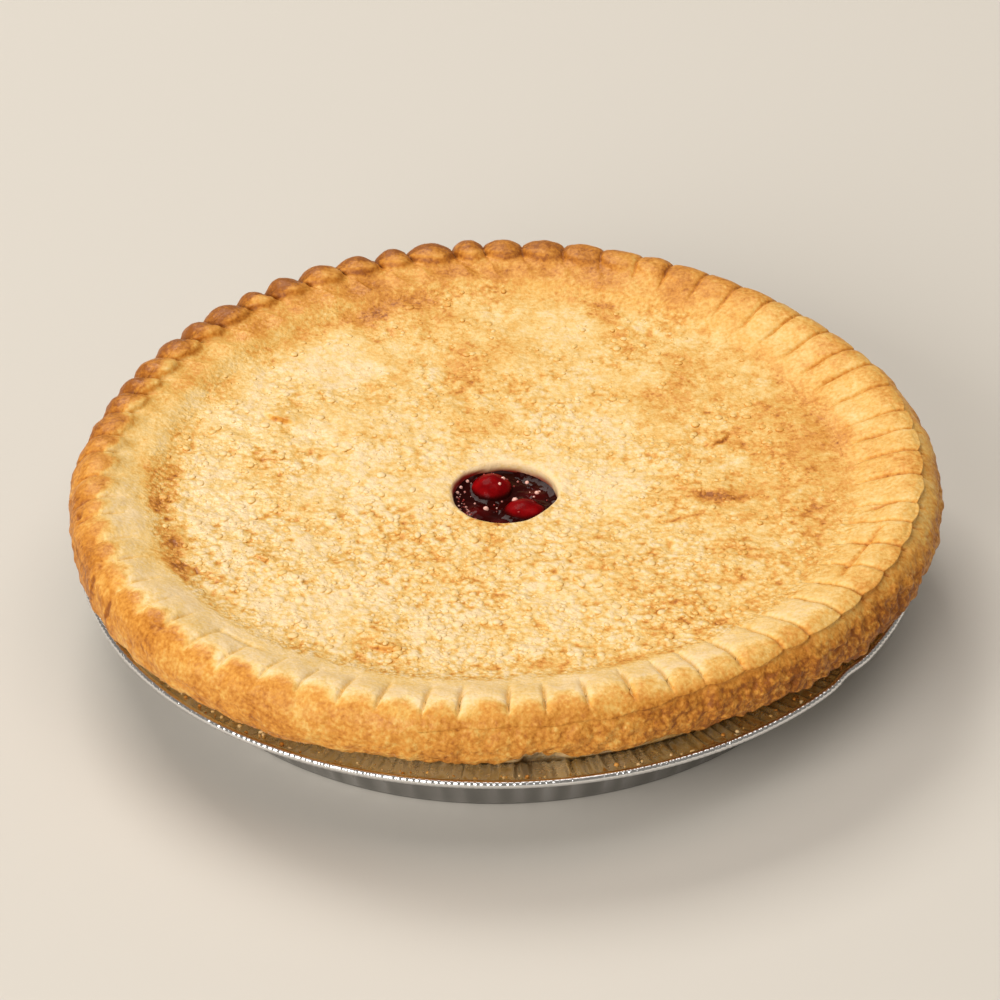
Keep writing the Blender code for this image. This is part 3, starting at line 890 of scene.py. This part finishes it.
def crust_material(name, pebble_size, mottling, crumble, speckle):
    """Baked shortcrust: pale cream to brown as it is baked, speckled, grainy and buttery, with
    painted shade in the hollows between its pebbles and crumbs.
    """
    material, tree, shader = new_material(name)
    place = node(tree, "TexCoord").outputs["Object"]
    cells = {"Vector": place, "Scale": 1 / pebble_size, "Smoothness": 0.35}
    cells = node(tree, "TexVoronoi", cells, feature="SMOOTH_F1").outputs["Distance"]
    hollow = calculate(tree, "SUBTRACT", cells, 0.42)
    hollow = calculate(tree, "MULTIPLY", hollow, attribute(tree, "pebbled"))
    fine = noise(tree, 1.1 * MM, 1.5)
    # painted shade: darker in the hollows between the pebbles
    shade = calculate(tree, "MULTIPLY_ADD", hollow, 0.75, attribute(tree, "browning_and_shade"))
    shade = calculate(tree, "ADD", shade, calculate(tree, "MULTIPLY_ADD", fine, 0.56, -0.28))
    cloud = calculate(tree, "MULTIPLY_ADD", noise(tree, 4 * MM), mottling, -mottling / 2)
    shade = calculate(tree, "ADD", shade, cloud)
    skin = calculate(tree, "MULTIPLY_ADD", noise(tree, 2.6 * MM, 6.0, 0.65), 9.0, -4.8, clamp=True)
    darker = calculate(tree, "MULTIPLY", attribute(tree, "browning_and_shade"), speckle)
    shade = calculate(tree, "MULTIPLY_ADD", skin, darker, shade)
    crumb = noise(tree, 2.1 * MM, 3.5, 0.6)
    # painted shade: darker where the crumbly bump sinks
    dip = calculate(tree, "SUBTRACT", 0.5, crumb)
    dip = calculate(tree, "MULTIPLY", dip, attribute(tree, "pebbled"))
    shade = calculate(tree, "MULTIPLY_ADD", dip, 1.05, shade, clamp=True)
    tone = ramp(tree, shade, CRUST_TONES)
    colour = blend(tree, attribute(tree, "juice"), tone, JUICE_STAIN)
    tree.links.new(colour, shader.inputs["Base Color"])
    dull = calculate(tree, "MULTIPLY_ADD", attribute(tree, "glaze"), -0.40, 0.66)
    dull = calculate(tree, "MULTIPLY_ADD", noise(tree, 2.4 * MM), -0.12, dull)
    tree.links.new(dull, shader.inputs["Roughness"])
    standing = calculate(tree, "MULTIPLY", hollow, -1.0)
    pebble = bumped(tree, standing, 0.7, 0.45 * MM)
    rough = calculate(tree, "MULTIPLY_ADD", attribute(tree, "pebbled"), crumble, 0.7)
    crumbly = bumped(tree, calculate(tree, "MULTIPLY", crumb, rough), 0.7, 0.5 * MM, pebble)
    tree.links.new(bumped(tree, fine, 0.6, 0.24 * MM, crumbly), shader.inputs["Normal"])
    shader.inputs["Specular IOR Level"].default_value = 0.26
    return material


rim = turned("crust_rim", len(rim_section()), RIM_STEPS, shape_rim, fine=(FIRST_TOP, LAST_SIDE))
rim.data.materials.append(crust_material("crust_rim_baked", 1.5 * MM, 0.26, 3.0, 0.16))
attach(rim, "root")
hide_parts("pie_crust")

# ---------------------------------------------------------------- lid
# The lid is a rolled sheet of the same dough, laid over the filling and sagging a little into
# it. A round vent was cut in it before baking, and it baked pebbled where sugar lay on it.
LID_STEPS = 480
LID_RINGS = 114
LID_REACH = 101.4 * MM
FIRST_LID_RING = 9
LID_FINE_RINGS = (54, 122)  # the outer part, where the points would lie furthest apart


def lid_section():
    """The lid in section, from the vent's wall, over the top to its edge, and back underneath."""
    lip = (VENT_RADIUS + VENT_LIP, LID_EDGE - LID_SAG * 0.973 - VENT_LIP)
    path = [(VENT_RADIUS, z * MM) for z in (30, 33.5, 35.2, 36.4)]
    for degrees in (180, 162, 144, 126, 108):
        turn = math.radians(degrees)
        path.append((lip[0] + VENT_LIP * math.cos(turn), lip[1] + VENT_LIP * math.sin(turn)))
    for i in range(LID_RINGS):
        path.append((lip[0] + (LID_REACH - lip[0]) * i / (LID_RINGS - 1), LID_EDGE))
    path += [(LID_REACH, LID_EDGE - 2.0 * MM), (60 * MM, 37.4 * MM), (17 * MM, 31 * MM)]
    path += [(VENT_RADIUS, 30 * MM)]
    return np.array(path)


def shape_lid(angle, ring):
    radius, height = lid_section()[ring].T
    x, y, lid_z, lumps = lid_point(radius, angle)
    on_lid = (ring >= FIRST_LID_RING) & (ring < FIRST_LID_RING + LID_RINGS)
    dip = 0.9 * MM * smoothstep(LID_REACH - 1.2 * MM, LID_REACH, radius)
    height = np.where(on_lid, lid_z - dip, height)
    at_vent = (radius < VENT_RADIUS + VENT_LIP + 0.1 * MM) & (height > 33 * MM)
    bent = 0.02 * near_angle(angle, -8, 14) - 0.07 * near_angle(angle, -40, 24)
    uneven = 1 + at_vent * (0.02 * bumps(around(angle, VENT_RADIUS), 4 * MM, 58) + bent)
    x = VENT_CENTRE[0] + (x - VENT_CENTRE[0]) * uneven
    y = VENT_CENTRE[1] + (y - VENT_CENTRE[1]) * uneven
    shade = lid_shade(x, y, radius, lumps)
    inside_vent = ring < FIRST_LID_RING - 1
    shade = np.where(inside_vent, 0.04, shade)
    spilt = 0.5 + 0.9 * bumps(around(angle, VENT_RADIUS), 3 * MM, 59)
    stained_to = 36.0 + 2.6 * near_angle(angle, 160, 55)
    wet = inside_vent * (1 - smoothstep(stained_to, stained_to + 0.6 + spilt, height / MM))
    paint = {
        "browning_and_shade": np.clip(shade, 0, 1),
        "pebbled": np.where(inside_vent, 0.0, pebbled(x, y)),
        "glaze": glazed(x, y),
        "juice": wet,
    }
    return np.stack((x, y, height), axis=1), paint


lid = turned("crust_lid", len(lid_section()), LID_STEPS, shape_lid, fine=LID_FINE_RINGS)
lid.data.materials.append(crust_material("crust_lid_baked", 1.9 * MM, 0.46, 0.8, 0.40))
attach(lid, "root")
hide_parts("pie_crust")

# ---------------------------------------------------------------- sugar grains
# Coarse sugar and flour crumbs, strewn by hand on the wet lid before baking. They melted a
# little and baked on as small pale lumps: many fine grains, and fewer larger crumbs.
LUMP_STANDS = 0.42
LUMP_SUNK = 0.12 * MM


def copies(shape, count):
    """A mesh of count or more copies of a small shape, one after another, by doubling it up."""
    mesh = bpy.data.meshes.new("copies")
    one = len(shape.verts)
    shape.to_mesh(mesh)
    shape.free()
    while len(mesh.vertices) < count * one:
        doubled = bmesh.new()
        doubled.from_mesh(mesh)
        doubled.from_mesh(mesh)
        doubled.to_mesh(mesh)
        doubled.free()
    return mesh


def strewn(count, seed, most):
    """Random places on the lid, closer together where the lid is pebbled, as radius and angle."""
    rng = np.random.default_rng(seed)
    radius = np.sqrt(rng.uniform((17.6 * MM) ** 2, most**2, count * 6))
    angle = rng.uniform(0, math.tau, count * 6)
    x, y = lid_point(radius, angle)[:2]
    edge = smoothstep(106 * MM, 92 * MM, radius)
    behind = smoothstep(-8 * MM, 8 * MM, y - VENT_CENTRE[1])
    edge = edge * (1 - behind * smoothstep(25 * MM, 20 * MM, radius))
    kept = rng.uniform(0.12, 1.0, len(x)) < pebbled(x, y) * edge
    return radius[kept][:count], angle[kept][:count], rng


def ball_to_copy(detail):
    """A ball of radius 1, and the places of its corners."""
    shape = bmesh.new()
    bmesh.ops.create_icosphere(shape, subdivisions=detail, radius=1.0)
    return shape, np.array([vert.co for vert in shape.verts])


def many_lumps(name, shape, points, look):
    """One piece of many copies of a shape, with each corner moved to its point and toned."""
    mesh = copies(shape, len(points) // len(shape.verts))
    bm = bmesh.new()
    bm.from_mesh(mesh)
    bpy.data.meshes.remove(mesh)
    bmesh.ops.delete(bm, geom=bm.verts[len(points):], context="VERTS")
    tone = bm.verts.layers.float.new("tone")
    for vert, point, shade in zip(bm.verts, points, look):
        vert.co = point
        vert[tone] = shade
    return finished(name, bm)


def scatter_on_lid(name, count, seed, sizes, detail, most):
    """Many lumps, each with its own place, size, turn and shape, in one mesh."""
    shape, ball = ball_to_copy(detail)
    radius, angle, rng = strewn(count, seed, most)
    lid_x, lid_y, lid_z, lumps = lid_point(radius, angle)
    middle = np.stack((lid_x, lid_y, lid_z - LUMP_SUNK), axis=1)
    size = rng.uniform(*sizes, (count, 1, 1)) * (1, 1, LUMP_STANDS)
    size = size * rng.uniform(0.65, 1.15, (count, 1, 3))
    lump = ball * (1 + 0.04 * rng.normal(0, 1, (count, len(ball), 1))) * size
    turn = rng.uniform(0, math.tau, (count, 1))
    c, s = np.cos(turn), np.sin(turn)
    x, y = lump[:, :, 0], lump[:, :, 1]
    lump[:, :, 0], lump[:, :, 1] = x * c - y * s, x * s + y * c
    points = (lump + middle[:, None]).reshape(-1, 3)
    paler = rng.uniform(-0.10, 0.16, count)
    look = lid_shade(lid_x, lid_y, radius, lumps) - paler
    # painted shade: each lump turns browner towards its base
    look = (look[:, None] + 0.55 * (1 - smoothstep(-0.1, 0.75, ball[:, 2]))[None]).reshape(-1)
    return many_lumps(name, shape, points, np.clip(look, 0.05, 0.8))


def grain_material():
    """Sugar and flour crumbs, melted and baked: cream on top, golden towards their bases, where it
    is painted shade.
    """
    material, tree, shader = new_material("baked_sugar")
    fine = noise(tree, 0.9 * MM, 1.0)
    shade = calculate(tree, "MULTIPLY_ADD", fine, 0.3, -0.15)
    shade = calculate(tree, "ADD", shade, attribute(tree, "tone"))
    tree.links.new(ramp(tree, shade, CRUST_TONES), shader.inputs["Base Color"])
    shader.inputs["Roughness"].default_value = 0.38
    shader.inputs["Specular IOR Level"].default_value = 0.3
    tree.links.new(bumped(tree, fine, 0.4, 0.08 * MM), shader.inputs["Normal"])
    return material


baked_sugar = grain_material()
grains = scatter_on_lid("sugar_grains", 2450, 63, (0.42 * MM, 0.90 * MM), 2, 104 * MM)
grains.data.materials.append(baked_sugar)
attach(grains, "root")

crumbs = scatter_on_lid("lid_crumbs", 560, 64, (0.85 * MM, 1.5 * MM), 3, 102 * MM)
crumbs.data.materials.append(baked_sugar)
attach(crumbs, "root")

# ---------------------------------------------------------------- pan crumbs
# Crumbs of baked dough that fell from the ragged lower edge of the crust. They lie loose on the
# pan's flange, most of them in front.
PAN_CRUMBS = 90
CRUMBS_MIDDLE = 258  # degrees round the pan, in front and a little to the left
CRUMBS_SPREAD = 30
FLANGE_RISE = 1.6 * MM

shape, ball = ball_to_copy(2)
rng = np.random.default_rng(65)
angle = np.radians(rng.normal(CRUMBS_MIDDLE, CRUMBS_SPREAD, PAN_CRUMBS))
radius = rng.uniform(118.5 * MM, 121.8 * MM, PAN_CRUMBS)
x = PAN_CENTRE[0] + radius * np.cos(angle)
y = PAN_CENTRE[1] + radius * np.sin(angle)
out_on_flange = (radius - PAN_WALL_TOP_RADIUS) / (PAN_FLANGE_RADIUS - PAN_WALL_TOP_RADIUS)
flat = PAN_WALL_TOP + FLANGE_RISE * out_on_flange
size = rng.uniform(0.3, 0.8, (PAN_CRUMBS, 1, 1)) * rng.uniform(0.6, 1.0, (PAN_CRUMBS, 1, 3)) * MM
lump = ball * (1 + 0.12 * rng.normal(0, 1, (PAN_CRUMBS, len(ball), 1))) * size
points = (lump + np.stack((x, y, flat + 0.35 * size[:, 0, 0]), axis=1)[:, None]).reshape(-1, 3)
look = np.repeat(rng.uniform(0.1, 0.7, PAN_CRUMBS), len(ball))
pan_crumbs = many_lumps("pan_crumbs", shape, points, look)
pan_crumbs.data.materials.append(baked_sugar)
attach(pan_crumbs, "root")

# ---------------------------------------------------------------- filling
# Cherry filling shows in the vent: a thick, clear, dark red gel that has boiled up round the
# cherries and crept up the cut edge of the dough. It reaches just into that edge.
FILLING_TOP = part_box("cherry_filling")[1][2]
FILLING_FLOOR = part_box("cherry_filling")[0][2]
GEL_RINGS = 40
GEL_STEPS = 120
DARK_GEL = (0.022, 0.0015, 0.001)


def oval(node_name):
    """The middle and the half sizes of a cherry's CAD solid."""
    low, high = (Vector(corner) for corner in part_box(node_name))
    return (low + high) / 2, (high - low) / 2


# each cherry's solid, and how far its puckering is turned
CHERRIES = {"cherry_1": 0.0, "cherry_2": math.radians(20)}
# cherries under the gel, in millimetres: (x, y) from the middle of the vent, size and rise
SUNK = [(-8.5, -5.0, 5.5, 1.3), (8.5, 4.0, 4.5, 0.5), (-2.0, -11.0, 4.0, 0.7)]


def shape_gel(angle, ring):
    reach = VENT_RADIUS + 0.5 * MM
    top = ring < GEL_RINGS
    radius = np.where(top, reach * ring / (GEL_RINGS - 1), np.where(ring == GEL_RINGS, reach, 0))
    x = VENT_CENTRE[0] + radius * np.cos(angle)
    y = VENT_CENTRE[1] + radius * np.sin(angle)
    climb = 0.7 + 0.3 * near_angle(angle, 35, 45) + 1.9 * near_angle(angle, 150, 65)
    height = FILLING_TOP - 0.3 * MM + climb * MM * np.exp(-(reach - radius) / (1.3 * climb * MM))
    for name in CHERRIES:
        middle, half = oval(name)
        off = np.hypot((x - middle.x) / half.x, (y - middle.y) / half.y) - 0.85
        height = height + 0.9 * MM * np.exp(-np.maximum(off, 0) * half.x / (1.0 * MM))
    redder = np.zeros(len(x))
    for sunk_x, sunk_y, size, stands in SUNK:
        off = np.hypot(x - VENT_CENTRE[0] - sunk_x * MM, y - VENT_CENTRE[1] - sunk_y * MM)
        dome = np.exp(-((off / (size * 0.6 * MM)) ** 2))
        height = height + stands * MM * dome
        redder = redder + 0.5 * dome
    place = level(x, y)
    height = height + 0.16 * MM * bumps(place, 2.6 * MM, 71)
    height = height + 0.14 * MM * bumps(place, 1.0 * MM, 72)
    height = np.where(top, height, FILLING_FLOOR)
    return np.stack((x, y, height), axis=1), {"redder": np.clip(redder, 0, 1)}


def gel_material():
    material, tree, shader = new_material("cherry_gel")
    depth = calculate(tree, "MULTIPLY_ADD", noise(tree, 3 * MM), 0.5, -0.25)
    shade = calculate(tree, "ADD", attribute(tree, "redder"), depth, clamp=True)
    colour = ramp(tree, shade, [(0.0, DARK_GEL), (1.0, (0.14, 0.003, 0.003))])
    tree.links.new(colour, shader.inputs["Base Color"])
    shader.inputs["Roughness"].default_value = 0.06
    shader.inputs["IOR"].default_value = 1.42
    shader.inputs["Specular IOR Level"].default_value = 0.08
    ripple = bumped(tree, noise(tree, 1.6 * MM), 0.25, 0.2 * MM)
    tree.links.new(ripple, shader.inputs["Normal"])
    return material


wet_gel = gel_material()
gel = turned("cherry_gel", GEL_RINGS + 2, GEL_STEPS, shape_gel)
gel.data.materials.append(wet_gel)
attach(gel, "root")
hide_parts("cherry_filling")

# ---------------------------------------------------------------- cherries
# Two pitted sour cherries stand out of the gel. Cooking has softened and slightly puckered them,
# and the gel coats them with a wet shine.


def cherry_material():
    material, tree, shader = new_material("cherry_skin")
    shade = noise(tree, 4 * MM)
    colour = ramp(tree, shade, [(0.3, (0.13, 0.001, 0.002)), (0.7, (0.27, 0.002, 0.003))])
    colour = blend(tree, attribute(tree, "covered"), colour, DARK_GEL)
    tree.links.new(colour, shader.inputs["Base Color"])
    shader.inputs["Roughness"].default_value = 0.3
    shader.inputs["Specular IOR Level"].default_value = 0.02
    shader.inputs["Subsurface Weight"].default_value = 0.25
    shader.inputs["Subsurface Radius"].default_value = (1.0, 0.12, 0.1)
    shader.inputs["Subsurface Scale"].default_value = 1.5 * MM
    shader.inputs["Coat Weight"].default_value = 0.03
    shader.inputs["Coat Roughness"].default_value = 0.05
    skin = bumped(tree, noise(tree, 1.1 * MM), 0.15, 0.15 * MM)
    tree.links.new(skin, shader.inputs["Normal"])
    return material


cherry_skin = cherry_material()
cherries = []
for name, turn in CHERRIES.items():
    middle, half = oval(name)
    bm = bmesh.new()
    bmesh.ops.create_icosphere(bm, subdivisions=5, radius=1.0)
    ball = np.array([vert.co for vert in bm.verts])
    pucker = 0.030 * bumps(ball + 3.0 * turn, 0.55, 73) + 0.012 * bumps(ball, 0.2, 74)
    dimple = 0.10 * np.exp(-(((ball - (0.55, 0.35, 0.76)) ** 2).sum(axis=1)) / 0.05)
    for vert, scale in zip(bm.verts, 1.09 + pucker - dimple):
        vert.co *= scale
    bmesh.ops.transform(bm, verts=bm.verts, matrix=Matrix.Diagonal((*half, 1)))
    bmesh.ops.translate(bm, verts=bm.verts, vec=middle)
    covered = bm.verts.layers.float.new("covered")
    for vert in bm.verts:
        vert[covered] = smoothstep(FILLING_TOP + 1.9 * MM, FILLING_TOP + 0.5 * MM, vert.co.z)
    cherry = finished(name + "_cooked", bm)
    cherries.append(cherry)
    cherry.data.materials.append(cherry_skin)
    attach(cherry, "root")
    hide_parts(name)

# ---------------------------------------------------------------- gel bubbles
# Boiling left small bubbles in the gel, most of them along its left and front edges, and beads
# of juice on the cut edge of the dough.
BUBBLES = 80
LEFT_BUBBLES = 35
FRONT_BUBBLES = 25
EDGE_BUBBLES = LEFT_BUBBLES + FRONT_BUBBLES
# the largest bubbles in millimetres, as (x, y) from the middle of the vent, and radius
LARGE_BUBBLES = [
    (-5.8, -2.9, 0.90),
    (2.8, -0.6, 0.95),
    (6.5, 10.7, 0.65),
    (0.6, 12.0, 0.40),
    (3.8, 11.3, 0.40),
    (-0.6, 8.9, 0.75),
    (-1.6, 5.3, 0.50),
    (-11.1, 9.6, 0.55),
    (-13.1, 6.6, 0.60),
    (-14.1, 3.9, 0.55),
    (-11.6, -2.2, 0.45),
    (-9.0, -0.2, 0.40),
    (9.3, 4.9, 0.75),
]


def wet_top(x, y):
    """The height of the gel and the cherries at places in the vent, found by looking down."""
    tops = []
    for piece in (gel, *cherries):
        corners = [vert.co for vert in piece.data.vertices]
        tree = BVHTree.FromPolygons(corners, [face.vertices for face in piece.data.polygons])
        hits = [tree.ray_cast(Vector((*place, 0.06)), Vector((0, 0, -1)))[0] for place in zip(x, y)]
        tops.append([hit.z if hit else 0.0 for hit in hits])
    return np.max(tops, axis=0)


def bubble_material():
    material, tree, shader = new_material("bubble_painted_highlight")
    # the pale pink end of this ramp is a painted highlight
    gel_to_painted_highlight = [(0.0, (0.34, 0.02, 0.015)), (1.0, (0.95, 0.55, 0.46))]
    colour = ramp(tree, attribute(tree, "tone"), gel_to_painted_highlight)
    tree.links.new(colour, shader.inputs["Base Color"])
    rough = calculate(tree, "MULTIPLY_ADD", noise(tree, 0.5 * MM), 0.1, 0.06)
    tree.links.new(rough, shader.inputs["Roughness"])
    return material


rng = np.random.default_rng(81)
at_left = rng.normal(math.radians(190), 0.5, LEFT_BUBBLES)
in_front = rng.normal(math.radians(262), 0.6, FRONT_BUBBLES)
anywhere = rng.uniform(0, math.tau, BUBBLES - EDGE_BUBBLES)
turn = np.concatenate((at_left, in_front, anywhere))
at_edge = rng.uniform(0.80, 0.98, EDGE_BUBBLES)
reach = np.append(at_edge, rng.uniform(0.1, 0.9, BUBBLES - EDGE_BUBBLES))
reach = (VENT_RADIUS - 0.6 * MM) * reach
large_x, large_y, large = np.array(LARGE_BUBBLES).T * MM
bubble_x = VENT_CENTRE[0] + np.append(reach * np.cos(turn), large_x)
bubble_y = VENT_CENTRE[1] + np.append(reach * np.sin(turn), large_y)
bubble_size = np.append(rng.uniform(0.15, 0.42, BUBBLES) * MM, large)
bm = bmesh.new()
tone = bm.verts.layers.float.new("tone")
for x, y, z, size in zip(bubble_x, bubble_y, wet_top(bubble_x, bubble_y), bubble_size):
    # the large bubbles and some small ones are pale pink: a painted highlight
    look = 0.9 if size > 0.45 * MM else rng.uniform(0, 1) ** 2
    made = bmesh.ops.create_icosphere(
        bm, subdivisions=2, radius=size, matrix=Matrix.Translation((x, y, z - 0.1 * size))
    )
    for vert in made["verts"]:
        vert[tone] = look
bubbles = finished("gel_bubbles", bm)
bubbles.data.materials.append(bubble_material())
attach(bubbles, "root")

# ---------------------------------------------------------------- floor and light
# A plain pale table. A window-like light stands behind the pie to its left, a broad fill in
# front of it to the left, and a weak soft light hangs overhead.
PALE = (0.66, 0.62, 0.56)


def floor_material():
    material, tree, shader = new_material("pale_table")
    mottle = calculate(tree, "MULTIPLY_ADD", noise(tree, 0.5), 0.12, -0.06)
    shade = calculate(tree, "ADD", mottle, 0.5)
    darker = tuple(0.94 * part for part in PALE)
    tree.links.new(blend(tree, shade, darker, PALE), shader.inputs["Base Color"])
    shader.inputs["Roughness"].default_value = 0.8
    return material


bm = bmesh.new()
bmesh.ops.create_grid(bm, x_segments=4, y_segments=4, size=4.0)
floor = finished("table_top", bm)
floor.data.materials.append(floor_material())


def area_light(name, place, size, power, colour):
    light = bpy.data.lights.new(name, "AREA")
    light.shape = "RECTANGLE"
    light.size, light.size_y = size
    light.energy = power
    light.color = colour
    lamp = bpy.data.objects.new(name, light)
    bpy.context.scene.collection.objects.link(lamp)
    facing = (LOOK_AT - Vector(place)).to_track_quat("-Z", "Y").to_matrix().to_4x4()
    lamp.matrix_world = Matrix.Translation(place) @ facing


area_light("window", (-0.65, 1.3, 1.9), (1.3, 1.0), 31.5, (1.0, 0.97, 0.92))
area_light("fill", (-1.2, -1.62, 1.0), (1.6, 1.2), 41, (1.0, 0.97, 0.93))
area_light("overhead", (0.5, 0.0, 2.15), (1.5, 1.5), 13, (1.0, 0.97, 0.93))

world = bpy.data.worlds.new("room")
world.use_nodes = True
world.node_tree.nodes["Background"].inputs["Color"].default_value = (1.0, 0.93, 0.84, 1.0)
world.node_tree.nodes["Background"].inputs["Strength"].default_value = 0.22
bpy.context.scene.world = world
bpy.context.scene.view_settings.view_transform = "Standard"
